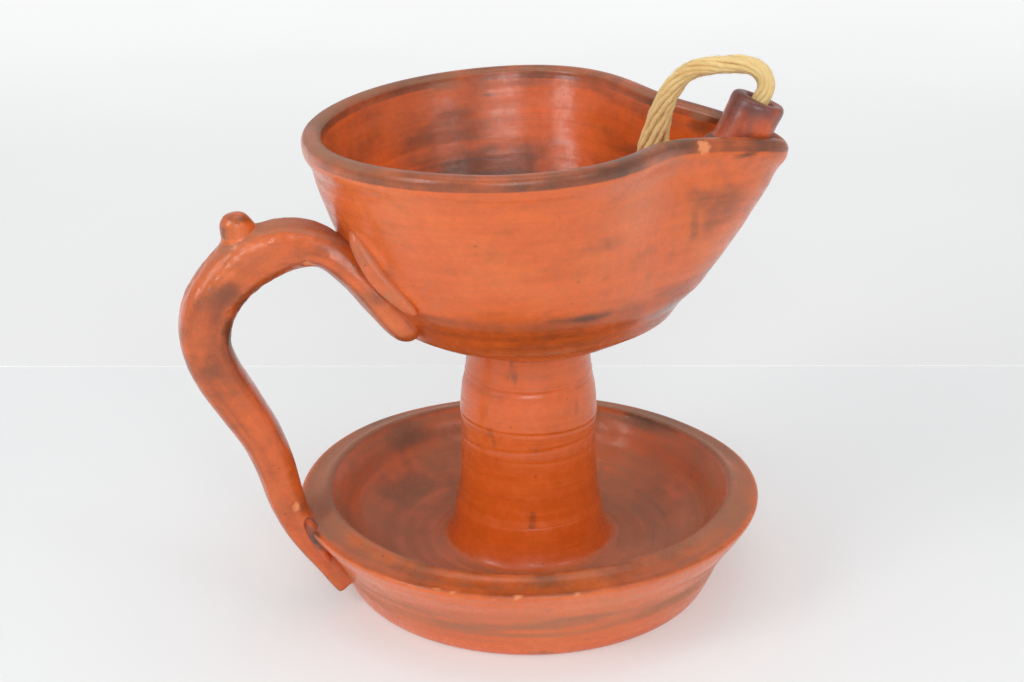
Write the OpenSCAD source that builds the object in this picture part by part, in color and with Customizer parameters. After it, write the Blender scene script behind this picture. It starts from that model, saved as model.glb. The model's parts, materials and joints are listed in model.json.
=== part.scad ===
// Hand-made terracotta oil lamp on a pedestal: a drip dish, a hollow stem, a pinched bowl
// with a pouring lip, a pulled handle with a thumb knob, and a leaning clay tube at the lip
// that holds a cotton wick. Millimetres, +Z up, +X towards the lip.
// The origin is the centre of the dish's flat foot, on the stem's axis.

/* [Drip dish] */
// Radius of the dish over its rim
dish_rim_r = 70.5; // [66:0.5:74]
// Height of the dish's rim above the table
dish_h = 30; // [27:0.5:32]
// Radius of the flat foot that the lamp stands on
dish_foot_r = 56.5; // [52:0.5:58]
// Width of the flattened rim
dish_rim_w = 9.5; // [7.5:0.5:11]
// Thickness of the dish's floor
dish_floor = 10; // [8:0.5:12]

/* [Stem] */
// Radius of the stem under the bowl
stem_neck_r = 19; // [18:0.5:21]
// Radius of the stem where it stands in the dish
stem_foot_r = 22; // [21:0.5:24]
// Radius of the thrown hollow inside the stem
stem_bore_r = 8; // [5:0.5:8.5]
// Radius of the vent that lets the hollow breathe in the kiln
vent_r = 2; // [1.5:0.25:3]

/* [Bowl] */
// Height of the bowl's flat underside, where the stem ends
bowl_seat_z = 80; // [78:0.5:82]
// Radius of the bowl's lower corner, where its wall starts
bowl_base_r = 31.5; // [30:0.5:34]
// Reach of the rim behind the stem
bowl_back = 64.5; // [62:0.5:67]
// Half of the bowl's width across the rim
bowl_side = 68.5; // [66:0.5:71]
// Depth of the two thumb pinches that draw out the lip
pinch = 17.5; // [12:0.5:19]
// Extra reach of the lip past the round bowl
lip_reach = 9; // [8:0.5:11]
// Thickness of the bowl's wall at the rim
bowl_wall = 5.5; // [4.5:0.25:6]

/* [Handle] */
// Direction of the handle round the stem, in degrees from the lip
handle_turn = 198; // [190:1:200]
// Scale of the handle's thickness
handle_thick = 1; // [0.9:0.05:1.1]
// Height of the thumb knob over the handle
knob_h = 8; // [6:0.5:10]
// Radius of the thumb knob
knob_r = 4.2; // [3.5:0.1:5]

/* [Wick tube] */
// Outer radius of the clay tube
tube_r = 7.75; // [7:0.25:8]
// Radius of the tube's bore
tube_bore_r = 4; // [3.5:0.25:4.5]
// Lean of the tube towards the lip, in degrees from upright
tube_lean = 24; // [22:1:26]
// Length of the tube
tube_len = 26; // [22:1:27]

/* [Wick] */
// Diameter of the twisted cotton wick
wick_d = 5.2; // [4.5:0.1:5.5]

/* [Hidden] */
$fn = 96;

// Terracotta, its worn patches, and cotton
clay = [0.76, 0.33, 0.17];
lute_clay = [0.66, 0.27, 0.14];
cotton = [0.87, 0.75, 0.48];

// Centre of the tube's mouth, and the direction in which the tube points
mouth = [66.2, 0, 149.4];
tube_dir = [sin(tube_lean), 0, cos(tube_lean)];

// Height at which the bowl's wall starts, just over its rounded lower corner
wall_z = bowl_seat_z + 2.5;
// Height of the bowl's inner floor
bowl_floor_z = bowl_seat_z + 10;
// Height of the rim over the wall's start, at its highest point beside the lip
rim_rise = 61.5;

// ---- shared functions ----

function mix(a, b, t) = a + (b - a) * t;
function clamp01(t) = min(max(t, 0), 1);
function ease(t) = clamp01(t) * clamp01(t) * (3 - 2 * clamp01(t));
function bell(a, centre, width) = exp(-pow((a - centre) / width, 2));
function unit(v) = v / norm(v);
// A point, and any values that go with it, on the smooth curve through the rows of a list
function spline(rows, i, t) =
    let (n = len(rows) - 1,
         a = rows[max(i - 1, 0)], b = rows[i], c = rows[min(i + 1, n)], d = rows[min(i + 2, n)])
    0.5 * (2 * b + (c - a) * t + (2 * a - 5 * b + 4 * c - d) * t * t
           + (3 * b - a - 3 * c + d) * t * t * t);
function smooth(rows, steps) = concat(
    [for (i = [0 : len(rows) - 2]) for (k = [0 : steps - 1]) spline(rows, i, k / steps)],
    [rows[len(rows) - 1]]);
// Direction of travel along a list of points
function heading(points, i) = unit(points[min(i + 1, len(points) - 1)] - points[max(i - 1, 0)]);
// A place given as radius, height and direction round the stem
function place(r, z, turn) = [r * cos(turn), r * sin(turn), z];

// A closed skin over rings of equal count, with flat ends
module skin(rings) {
    sides = len(rings[0]);
    last = len(rings) - 1;
    points = [for (ring = rings) for (p = ring) p];
    walls = [for (i = [0 : last - 1]) for (j = [0 : sides - 1])
        let (k = (j + 1) % sides, a = i * sides + j, b = i * sides + k)
        each [[a, b, b + sides], [a, b + sides, a + sides]]];
    first_cap = [for (j = [0 : sides - 1]) sides - 1 - j];
    last_cap = [for (j = [0 : sides - 1]) last * sides + j];
    polyhedron(points, concat(walls, [first_cap, last_cap]), convexity = 6);
}

// An oval ring round a point, at right angles to the heading; side is the wide direction
function oval(centre, ahead, side, thick, wide, sides) =
    let (s = unit(side - (side * ahead) * ahead), n = cross(ahead, s))
    [for (j = [0 : sides - 1])
        let (a = 360 * j / sides)
        centre - n * thick * cos(a) + s * wide * sin(a)];

// A strip of clay laid along rows of radius, height, turn, half thickness and half width
module clay_strip(rows, steps, sides) {
    fine = smooth(rows, steps);
    line = [for (row = fine) place(row[0], row[1], row[2])];
    rings = [for (i = [0 : len(fine) - 1])
        let (turn = fine[i][2], side = [-sin(turn), cos(turn), 0])
        oval(line[i], heading(line, i), side, fine[i][3], fine[i][4], sides)];
    skin(rings);
}

// A round cord along a list of points; the side direction only fixes where its facets lie
module cord(route, steps) {
    cord_sides = 10;
    line = smooth(route, steps);
    rings = [for (i = [0 : len(line) - 1])
        oval(line[i], heading(line, i), [0, 1, 0], wick_d / 2, wick_d / 2, cord_sides)];
    skin(rings);
}

// ---- drip dish ----

module drip_dish() {
    under_rim = dish_h - 6;
    color(clay) difference() {
        rotate_extrude() polygon([
            [0, 0], [dish_foot_r - 2, 0], [dish_foot_r, 1.5],
            [mix(dish_foot_r, dish_rim_r, 0.3), under_rim * 0.42],
            [mix(dish_foot_r, dish_rim_r, 0.66), under_rim * 0.75],
            [dish_rim_r - 1, under_rim], [dish_rim_r, dish_h - 3], [dish_rim_r - 0.4, dish_h - 2],
            [dish_rim_r - 5, dish_h - 0.8], [dish_rim_r - dish_rim_w + 1, dish_h],
            [dish_rim_r - dish_rim_w, dish_h - 0.6], [dish_rim_r - dish_rim_w - 1.6, dish_h - 5],
            [dish_rim_r - dish_rim_w - 4.5, dish_floor + 7], [dish_rim_r - dish_rim_w - 9, dish_floor + 2.5],
            [dish_rim_r - dish_rim_w - 15, dish_floor], [0, dish_floor]]);
        translate([-stem_bore_r / 2, 0, -1]) cylinder(r = vent_r, h = dish_floor + 2, $fn = 32);
    }
}

// ---- stem, thrown as a hollow column ----

module stem() {
    groove = 0.6;
    color(clay) rotate_extrude() polygon([
        [stem_bore_r, dish_floor], [stem_foot_r, dish_floor], [stem_foot_r, dish_floor + 13],
        [stem_foot_r - 1, 35], [stem_foot_r - 1.3, 43.4], [stem_foot_r - 1.3 - groove, 44.4],
        [stem_foot_r - 1.2, 45.4], [stem_foot_r - 1.2, 47], [stem_foot_r - 1.2 - groove, 48],
        [stem_foot_r - 1.2, 49], [stem_foot_r - 1.1, 52], [stem_foot_r - 1.1 - groove, 53],
        [stem_foot_r - 1.1, 54], [mix(stem_neck_r, stem_foot_r, 0.3), 62],
        [stem_neck_r + 0.3, 65.5], [stem_neck_r - groove, 66.5], [stem_neck_r + 0.2, 67.5],
        [stem_neck_r, bowl_seat_z], [stem_bore_r, bowl_seat_z]]);
}

// Coil of clay smoothed into a fillet round the stem's foot
module stem_foot_coil() {
    coil_w = 5.5;
    coil_h = 12;
    color(lute_clay) rotate_extrude() difference() {
        translate([stem_foot_r, dish_floor]) square([coil_w, coil_h]);
        translate([stem_foot_r + coil_w + 0.8, dish_floor + coil_h + 0.6])
            scale([1, 2]) circle(r = coil_w + 0.4);
    }
}

// ---- bowl ----

// Reach of the plain oval bowl in a direction
function oval_reach(turn) =
    let (front = 68.5, along = abs(turn) < 90 ? front : bowl_back)
    1 / sqrt(pow(cos(turn) / along, 2) + pow(sin(turn) / bowl_side, 2));
// The two thumb pinches, gentle on the bowl's side and tighter on the lip's
function pinch_at(turn) =
    let (a = abs(turn), centre = 36)
    pinch * bell(a, centre, a > centre ? 34 : 26);
// The beak of the lip, sharp at the rim and broader lower down
function beak_at(turn, t) =
    let (spread = mix(26, 7, t * t))
    lip_reach * ease((t - 0.1) / 0.7) * mix(0.72, 1, ease((t - 0.6) / 0.4))
    * exp(1 - sqrt(1 + pow(turn / spread, 2)));
// Exponent of the wall's curve: straightest beside the lip, fuller on the keel and at the sides
function wall_bulge(turn) = 0.42 + 0.16 * bell(abs(turn), 45, 40) + 0.055 * ease((abs(turn) - 100) / 40);
// Reach of the outer wall in a direction, at a fraction of the way up it
function wall_reach(turn, t) =
    bowl_base_r + (oval_reach(turn) - bowl_base_r) * pow(t, wall_bulge(turn))
    + beak_at(turn, t) - pinch_at(turn) * ease((t - 0.05) / 0.95);
// The rim climbs from the back to beside the lip, then drops to the lip's tip
function rim_z(turn) =
    let (a = abs(turn))
    wall_z + rim_rise - 4.2 * ease((a - 60) / 120) - 9 * exp(-a / 20);
function outer_point(turn, t) =
    place(wall_reach(turn, t), mix(wall_z, rim_z(turn), t), turn);
// The inner wall is the outer one moved in by the wall's thickness, at right angles to it
function inner_point(turn, t) =
    let (ahead = wall_point_slope(turn, t), thick = bowl_wall + 4.5 * pow(1 - t, 2))
    outer_point(turn, t) + [-ahead[1], ahead[0], 0] * thick;
function wall_point_slope(turn, t) =
    let (step = 0.6, d = outer_point(turn + step, t) - outer_point(turn - step, t))
    unit([d[0], d[1], 0]);

module bowl() {
    half = 30;
    outer_rings = 10;
    inner_rings = 9;
    rim_rings = 3;
    rim_round = 1.8;
    // Height fraction at which the inner wall meets the floor
    floor_t = 0.13;
    // Directions, close together at the lip and wider apart behind it
    turns = [for (i = [-half : half - 1]) sign(i) * 180 * pow(abs(i) / half, 1.5)];
    foot = [for (r = [[bowl_base_r - 9, bowl_seat_z], [bowl_base_r - 2, bowl_seat_z + 0.4]])
        [for (a = turns) place(r[0], r[1], a)]];
    outside = [for (k = [0 : outer_rings]) let (t = pow(k / outer_rings, 1.25))
        [for (a = turns) outer_point(a, t)]];
    rim = [for (k = [1 : rim_rings]) let (q = 180 * k / (rim_rings + 1))
        [for (a = turns) mix(outer_point(a, 1), inner_point(a, 1), (1 - cos(q)) / 2)
            + [0, 0, rim_round * sin(q)]]];
    inside = [for (k = [0 : inner_rings]) let (t = mix(1, floor_t, k / inner_rings))
        [for (a = turns) inner_point(a, t)]];
    floor_ring = [[for (a = turns) place(bowl_base_r - 10, bowl_floor_z - 0.8, a)]];
    color(clay) skin(concat(foot, outside, rim, inside, floor_ring));
}

// ---- handle ----

// Rows of radius, height, turn, half thickness and half width: up the bowl's wall from the
// smeared tail, over the finger gap, and down to the dish
handle_rows = [
    [45.6, 89.5, handle_turn + 26, 2, 3.2], [48, 93, handle_turn + 24, 3.2, 5],
    [51.3, 98.6, handle_turn + 19.5, 3.8, 6.3], [55.8, 105.8, handle_turn + 13.5, 4.5, 7],
    [62.2, 112.3, handle_turn + 7.5, 5.6, 7.5],
    [69.5, 113.5, handle_turn + 2, 6.9, 7.5], [78.5, 111.5, handle_turn, 7.7, 7.5],
    [87.5, 106, handle_turn, 7.7, 7.5], [94, 97.5, handle_turn, 7.6, 7.5],
    [96, 87, handle_turn, 7.2, 7.5], [93, 77, handle_turn, 7, 7.5],
    [87.3, 66.5, handle_turn, 6.7, 7.5], [82, 56, handle_turn, 6.3, 7.4],
    [78.3, 45, handle_turn, 6, 7.3], [76, 35.5, handle_turn, 5.6, 7.2],
    [72.8, 26.5, handle_turn, 4.8, 7], [67, 16.5, handle_turn + 1, 4.2, 6.8],
    [62.4, 9, handle_turn + 2, 3.6, 6.5], [61, 7, handle_turn + 2, 3.4, 6.5]];

module handle() {
    rows = [for (row = handle_rows) [row[0], row[1], row[2], row[3] * handle_thick, row[4]]];
    color(clay) clay_strip(rows, 3, 16);
}

// Ridge of clay worked onto the bowl beside the handle's tail
module handle_root_lute() {
    color(lute_clay) clay_strip([
        [60.8, 124, handle_turn + 17, 1.6, 2.5], [59.5, 118.5, handle_turn + 20.5, 2.6, 4.5],
        [57.3, 112.5, handle_turn + 24.5, 3, 5], [54.8, 106.5, handle_turn + 29, 2.4, 4.5],
        [52.5, 102, handle_turn + 33, 1.6, 2.5]], 4, 12);
}

// Slip pressed into the corner between the handle's foot and the dish's rim
module handle_foot_lute() {
    color(lute_clay) clay_strip([
        [71, 28.4, handle_turn + 5, 1.6, 2], [70.6, 27.4, handle_turn + 8, 2.4, 3],
        [69, 22.5, handle_turn + 9, 2.2, 3], [66, 15.5, handle_turn + 9, 1.4, 2]], 4, 10);
}

// Thumb knob: a round peg with a domed top, standing on the handle
module thumb_knob() {
    knob_foot = 8;
    knob_tilt = 6;
    color(clay) translate(place(83.2, 116.3 - knob_foot, handle_turn)) rotate([0, 0, handle_turn])
        rotate([0, knob_tilt, 0]) rotate_extrude() intersection() {
            union() {
                square([knob_r - 0.4, knob_foot + knob_h - knob_r]);
                translate([0, knob_foot + knob_h - knob_r]) circle(r = knob_r, $fn = 48);
            }
            square([knob_r, knob_foot + knob_h]);
        }
}

// ---- wick tube ----

// Moves a shape drawn from z = 0 downwards so that z = 0 is the tube's mouth
module at_mouth() {
    translate(mouth) rotate([0, tube_lean, 0]) children();
}

module wick_tube() {
    edge = 1.5;
    color(clay) at_mouth() rotate_extrude() polygon([
        [tube_bore_r, -tube_len], [tube_r, -tube_len], [tube_r, -edge], [tube_r - 0.45, -edge / 3],
        [tube_r - edge, 0], [tube_bore_r + 0.8, 0], [tube_bore_r, -0.8]]);
}

// Coil of clay that beds the tube between the walls of the lip
module tube_seat_coil() {
    coil_w = 2.2;
    color(lute_clay) at_mouth() rotate_extrude() polygon([
        [tube_r, -20], [tube_r + coil_w - 0.6, -19], [tube_r + coil_w, -17.5],
        [tube_r + coil_w - 0.6, -16], [tube_r, -15]]);
}

// ---- wick ----

// Route of the free stretch: out of the tube's mouth, over in an arc, into the bowl and
// along its floor to the bare end
wick_route = [
    [64.2, 0, 146], [66.4, 0, 149.3], [67.7, 0, 152.6], [67, 0, 156], [64, 0, 158.6], [59, 0, 159.4],
    [52.5, 0, 159], [47, 0, 157.9], [43, 0.3, 155], [40.2, 0.8, 150.4], [38, 1.5, 144],
    [36, 2.5, 134], [34.5, 4, 124], [32, 5.5, 113], [28, 7.5, 103], [22.5, 10, 96],
    [16.5, 14, 93.4], [13, 20, 93.2], [12.5, 26, 93.3]];

// Route of the held stretch: down the tube's bore, then along the lip's floor into the oil
wick_tail_route = [
    [64.2, 0, 146], [62, 0, 141], [57.5, 0, 131], [53.1, 0, 121], [49.7, -0.3, 113.5],
    [44.5, -1.5, 105.5], [38.5, -4, 98.5], [31.5, -7.5, 94.4], [24, -12, 93.3], [17, -17.5, 93.2]];

module wick() {
    color(cotton) cord(wick_route, 3);
}

module wick_tail() {
    color(cotton) cord(wick_tail_route, 3);
}

drip_dish();
stem();
stem_foot_coil();
bowl();
handle();
handle_root_lute();
handle_foot_lute();
thumb_knob();
wick_tube();
tube_seat_coil();
wick();
wick_tail();
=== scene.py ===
import json
import math

import bmesh
import bpy
import numpy as np
from mathutils import Matrix, Vector
from mathutils.bvhtree import BVHTree


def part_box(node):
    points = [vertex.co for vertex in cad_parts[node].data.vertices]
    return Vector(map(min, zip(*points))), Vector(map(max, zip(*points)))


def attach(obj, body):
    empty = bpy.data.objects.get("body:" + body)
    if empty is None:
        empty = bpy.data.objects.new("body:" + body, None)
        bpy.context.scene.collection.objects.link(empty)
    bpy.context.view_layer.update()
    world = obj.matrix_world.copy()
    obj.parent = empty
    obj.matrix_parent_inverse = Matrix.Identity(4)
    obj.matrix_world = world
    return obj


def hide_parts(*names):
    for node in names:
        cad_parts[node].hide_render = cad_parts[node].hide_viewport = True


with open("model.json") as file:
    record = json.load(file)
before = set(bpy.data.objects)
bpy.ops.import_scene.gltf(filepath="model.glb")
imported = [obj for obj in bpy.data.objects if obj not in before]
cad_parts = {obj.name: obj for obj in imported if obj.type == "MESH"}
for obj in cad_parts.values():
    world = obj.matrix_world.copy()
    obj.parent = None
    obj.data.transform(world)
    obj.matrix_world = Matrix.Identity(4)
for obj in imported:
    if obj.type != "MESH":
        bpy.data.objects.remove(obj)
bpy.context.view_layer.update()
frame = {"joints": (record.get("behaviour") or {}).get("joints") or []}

# The shapes are worked out in millimetres, in the frame's own axes, and become metres in new_mesh().
MM = 0.001


# -------------------- numbers and noise

def mix(a, b, t):
    return a + (b - a) * t


def ease(t):
    t = np.clip(t, 0, 1)
    return t * t * (3 - 2 * t)


def bell(a, centre, width):
    return np.exp(-((a - centre) / width) ** 2)


def unit(v):
    return v / np.maximum(np.linalg.norm(v, axis=-1, keepdims=True), 1e-9)


def perlin(points, seed):
    """Smooth gradient noise of about -0.7 to 0.7, one value for each row of points."""
    rng = np.random.RandomState(seed)
    table = rng.permutation(256)
    slopes = unit(rng.normal(size=(256, 3)))
    cell = np.floor(points).astype(int)
    inside = points - cell
    fade = inside ** 3 * (inside * (inside * 6 - 15) + 10)
    total = np.zeros(points.shape[:-1])
    for corner in np.ndindex(2, 2, 2):
        at = (cell + corner) & 255
        index = table[(table[(table[at[..., 0]] + at[..., 1]) & 255] + at[..., 2]) & 255]
        weight = np.prod(np.where(corner, fade, 1 - fade), axis=-1)
        total += weight * np.sum(slopes[index] * (inside - corner), axis=-1)
    return total


def fractal(points, size, seed, octaves=3):
    """Noise whose largest lumps are about size across, in the points' own unit."""
    total = np.zeros(points.shape[:-1])
    for k in range(octaves):
        total += perlin(points / size * 2 ** k, seed + k) / 2 ** k
    return total


def smooth(rows, steps):
    """The smooth curve through the rows, with the given steps between each pair."""
    rows = np.asarray(rows, float)
    last = len(rows) - 1
    out = []
    for i in range(last):
        a, b = rows[max(i - 1, 0)], rows[i]
        c, d = rows[i + 1], rows[min(i + 2, last)]
        for t in np.arange(steps) / steps:
            out.append(0.5 * (2 * b + (c - a) * t + (2 * a - 5 * b + 4 * c - d) * t * t
                              + (3 * b - a - 3 * c + d) * t ** 3))
    out.append(rows[last])
    return np.array(out)


def profile(rows, gap):
    """A thrown piece's outline: a smooth curve through rows that lie unevenly, in even steps."""
    rows = np.asarray(rows, float)
    rows = np.concatenate([[2 * rows[0] - rows[1]], rows, [2 * rows[-1] - rows[-2]]])
    step = np.sqrt(np.linalg.norm(np.diff(rows, axis=0), axis=1))[:, None]
    slope = np.diff(rows, axis=0) / step
    turn = (rows[2:] - rows[:-2]) / (step[:-1] + step[1:])
    tangent = slope[:-1] - turn + slope[1:]
    out = []
    for k in range(1, len(rows) - 2):
        t = np.linspace(0, 1, 24, endpoint=False)[:, None]
        a, b = rows[k], rows[k + 1]
        ta, tb = tangent[k - 1] * step[k], tangent[k] * step[k]
        out.append((2 * t ** 3 - 3 * t ** 2 + 1) * a + (t ** 3 - 2 * t ** 2 + t) * ta
                   + (3 * t ** 2 - 2 * t ** 3) * b + (t ** 3 - t ** 2) * tb)
    return even(np.concatenate(out + [rows[-2:-1]]), gap)


def even(line, gap):
    """Points a steady gap apart along a line of points."""
    steps = np.linalg.norm(np.diff(line[:, :3], axis=0), axis=1)
    run = np.concatenate([[0], np.cumsum(steps)])
    at = np.linspace(0, run[-1], max(int(run[-1] / gap), 2) + 1)
    return np.column_stack([np.interp(at, run, line[:, k]) for k in range(line.shape[1])])


def place(r, z, turn):
    """A point given as radius, height and direction round the stem, in degrees from the lip."""
    a = np.radians(turn)
    return np.stack(np.broadcast_arrays(r * np.cos(a), r * np.sin(a), z), axis=-1)


# -------------------- meshes

# The channels of a clay piece's marks: dust also carries painted sheen, and smoke and slip also carry
# painted shade
DUST_AND_SHEEN, SMOKE_AND_SHADE, BARE, SLIP_AND_SHADE = range(4)


def wall_faces(rows, sides, start=0):
    """The quads of a grid of rings, whose points are numbered from start."""
    i, j = np.meshgrid(np.arange(rows - 1), np.arange(sides), indexing="ij")
    a = start + i * sides + j
    b = start + i * sides + (j + 1) % sides
    return np.stack([a, b, b + sides, a + sides], -1).reshape(-1, 4)


class Clay:
    """A closed skin over a grid of rings, with the marks that its material reads.

    rings is (rows, sides, 3). grain is the same shape: its third value runs across the potter's
    strokes and the other two run along them. marks holds dust with painted sheen, smoke with painted
    shade, bare clay, and slip with painted shade, 0 to 1."""

    def __init__(self, name, rings, grain=None):
        self.name = name
        self.rings = rings
        self.grain = rings.copy() if grain is None else grain
        self.marks = np.zeros(rings.shape[:2] + (4,))

    def normals(self):
        around = np.roll(self.rings, -1, 1) - np.roll(self.rings, 1, 1)
        along = np.gradient(self.rings, axis=0)
        return unit(np.cross(around, along))

    def push(self, amount):
        self.rings = self.rings + self.normals() * amount[..., None]

    def faces(self):
        rows, sides = self.rings.shape[:2]
        first, last = rows * sides, rows * sides + 1
        ring = np.arange(sides)
        ahead = np.roll(ring, -1)
        top = (rows - 1) * sides
        start = np.stack([np.full(sides, first), ahead, ring], -1)
        end = np.stack([np.full(sides, last), top + ring, top + ahead], -1)
        return wall_faces(rows, sides), np.concatenate([start, end])

    def points(self):
        ends = np.stack([self.rings[0].mean(0), self.rings[-1].mean(0)])
        return np.concatenate([self.rings.reshape(-1, 3), ends])

    def values(self, grid):
        flat = grid.reshape(-1, grid.shape[-1])
        return np.concatenate([flat, grid[0].mean(0)[None], grid[-1].mean(0)[None]])

    def build(self):
        walls, caps = self.faces()
        mesh = new_mesh(self.name, self.points(), walls.tolist() + caps.tolist())
        marks = np.clip(self.values(self.marks), 0, 1)
        add_layer(mesh, "grain", "FLOAT_VECTOR", "vector", self.values(self.grain) * MM)
        add_layer(mesh, "marks", "FLOAT_COLOR", "color", marks)
        return new_object(self.name, mesh)


def new_mesh(name, points, faces):
    mesh = bpy.data.meshes.new(name)
    mesh.from_pydata((points * MM).tolist(), [], faces)
    mesh.validate()
    mesh.polygons.foreach_set("use_smooth", np.ones(len(mesh.polygons), bool))
    return mesh


def add_layer(mesh, name, kind, field, values):
    layer = mesh.attributes.new(name, kind, "POINT")
    layer.data.foreach_set(field, values.astype(np.float32).ravel())


def new_object(name, mesh):
    obj = bpy.data.objects.new(name, mesh)
    bpy.context.scene.collection.objects.link(obj)
    return obj


def gap_to(piece, other, limit):
    """How far each vertex of a piece lies from the other piece's skin, up to a limit."""
    points = piece.rings.reshape(-1, 3)
    skin = other.rings.reshape(-1, 3)
    low = np.maximum(skin.min(0), points.min(0)) - limit
    high = np.minimum(skin.max(0), points.max(0)) + limit
    out = np.full(len(points), float(limit))
    walls = other.faces()[0]
    close = np.all((skin > low) & (skin < high), axis=1)
    walls = walls[close[walls].any(1)]
    if len(walls):
        tree = BVHTree.FromPolygons(skin.tolist(), walls.tolist())
        for k in np.flatnonzero(np.all((points > low) & (points < high), axis=1)):
            near = tree.find_nearest(points[k].tolist(), limit)
            if near[0] is not None:
                out[k] = near[3]
    return out.reshape(piece.rings.shape[:2])


def weld(pair, size):
    """Swells two pieces where they meet, so that their skins run into each other in a fillet."""
    gaps = [gap_to(pair[0], pair[1], size), gap_to(pair[1], pair[0], size)]
    for piece, gap in zip(pair, gaps):
        piece.push((1 - gap / size) ** 2 * size / 4)


def smudge(piece, mark, centre, spread, strength, ragged=0.35, seed=50):
    """Adds a soft-edged mark round a point; spread is its half size along X, Y and Z."""
    d = np.linalg.norm((piece.rings - np.array(centre)) / np.array(spread), axis=-1)
    rough = fractal(piece.rings, 9, seed) * ragged
    piece.marks[..., mark] = np.maximum(piece.marks[..., mark], strength * (1 - ease(d + rough)))


def wipe(piece, mark, centre, spread, strength):
    """Takes a mark away round a point."""
    d = np.linalg.norm((piece.rings - np.array(centre)) / np.array(spread), axis=-1)
    piece.marks[..., mark] *= 1 - strength * (1 - ease(d + fractal(piece.rings, 7, 57) * 0.5))


def chip(piece, centre, size, depth, seed=80):
    """A flake knocked off the surface, down to the bare clay."""
    d = np.linalg.norm(piece.rings - np.array(centre), axis=-1) / size
    d = d + fractal(piece.rings, size, seed) * 0.7
    hole = 1 - ease((d - 0.75) / 0.25)
    piece.push(-depth * hole)
    piece.marks[..., BARE] = np.maximum(piece.marks[..., BARE], hole)


# -------------------- camera

# Lens and sensor in millimetres, where the camera stands, and how it is turned, in degrees
LENS = 59.58
SENSOR = 36
CAMERA_AT = (2.3, -474.8, 262.9)
CAMERA_DOWN = 21.55
CAMERA_LEFT = 0.87
CAMERA_ROLL = 0.386


def add_camera():
    data = bpy.data.cameras.new("camera")
    data.sensor_width = SENSOR
    data.lens = LENS
    data.clip_start = 0.01
    obj = bpy.data.objects.new("camera", data)
    bpy.context.scene.collection.objects.link(obj)
    level = Matrix.Rotation(math.radians(90 - CAMERA_DOWN), 4, "X")
    turn = Matrix.Rotation(math.radians(CAMERA_LEFT), 4, "Z")
    roll = Matrix.Rotation(math.radians(-CAMERA_ROLL), 4, "Z")
    obj.matrix_world = Matrix.Translation(Vector(CAMERA_AT) * MM) @ turn @ level @ roll
    bpy.context.scene.camera = obj


add_camera()


# -------------------- the wick, a cotton rope

# The free stretch: out of the tube's mouth, over in an arc, into the bowl and along its floor
WICK_ROUTE = [
    (64.2, 0, 146), (66.4, 0, 149.3), (67.7, 0, 152.6), (67, 0, 156), (64, 0, 158.6), (59, 0, 159.4),
    (52.5, 0, 159), (47, 0, 157.9), (43, 0.3, 155), (40.2, 0.8, 150.4), (38, 1.5, 144),
    (36, 2.5, 134), (34.5, 4, 124), (32, 5.5, 113), (28, 7.5, 103), (22.5, 10, 96),
    (16.5, 14, 93.4), (13, 20, 93.2), (12.5, 26, 93.3)]
# The held stretch: down the tube's bore, then along the lip's floor
TAIL_ROUTE = [
    (64.2, 0, 146), (62, 0, 141), (57.5, 0, 131), (53.1, 0, 121), (49.7, -0.3, 113.5),
    (44.5, -1.5, 105.5), (38.5, -4, 98.5), (31.5, -7.5, 94.4), (24, -12, 93.3), (17, -17.5, 93.2)]


def carried_frames(line):
    """Two directions at right angles to the line, carried along it without twist."""
    ahead = unit(np.gradient(line, axis=0))
    side = np.zeros_like(line)
    side[0] = unit(np.cross(ahead[0], (0, 1, 0)))
    for k in range(1, len(line)):
        side[k] = unit(side[k - 1] - ahead[k] * np.dot(side[k - 1], ahead[k]))
    return side, np.cross(ahead, side)


def tube_faces(rows, sides, start):
    ring = range(sides)
    caps = [[start + k for k in reversed(ring)], [start + (rows - 1) * sides + k for k in ring]]
    return wall_faces(rows, sides, start).tolist() + caps


# The rope: how many strands each layer has and how far out they lie, and a strand's own size
LAYERS = ((10, 1.74), (5, 0.9), (1, 0.0))
STRAND_R = 0.84
STRAND_SIDES = 12
# How far along the rope the strands go once round it, and a strand's yarns once round each other
LAY_PITCH = 62.0
PLY_PITCH = 9.0
ROPE_GAP = 0.45
# Loose fibres: how many to each ring of the rope, their radius, rings and corners, and how far
# from the rope's ends they stay, in rings
FIBRES_PER_RING = 1.8
FIBRE_R = 0.035
FIBRE_RINGS = 5
FIBRE_CORNERS = (0, 2.09, 4.19)
FIBRE_MARGIN = 8


def rings_round(line, radius, angles):
    """Rings of points at the given angles and distance round a line."""
    side, up = carried_frames(line)
    rings = line[:, None] + side[:, None] * (radius * np.cos(angles))[..., None]
    return rings + up[:, None] * (radius * np.sin(angles))[..., None]


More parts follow.
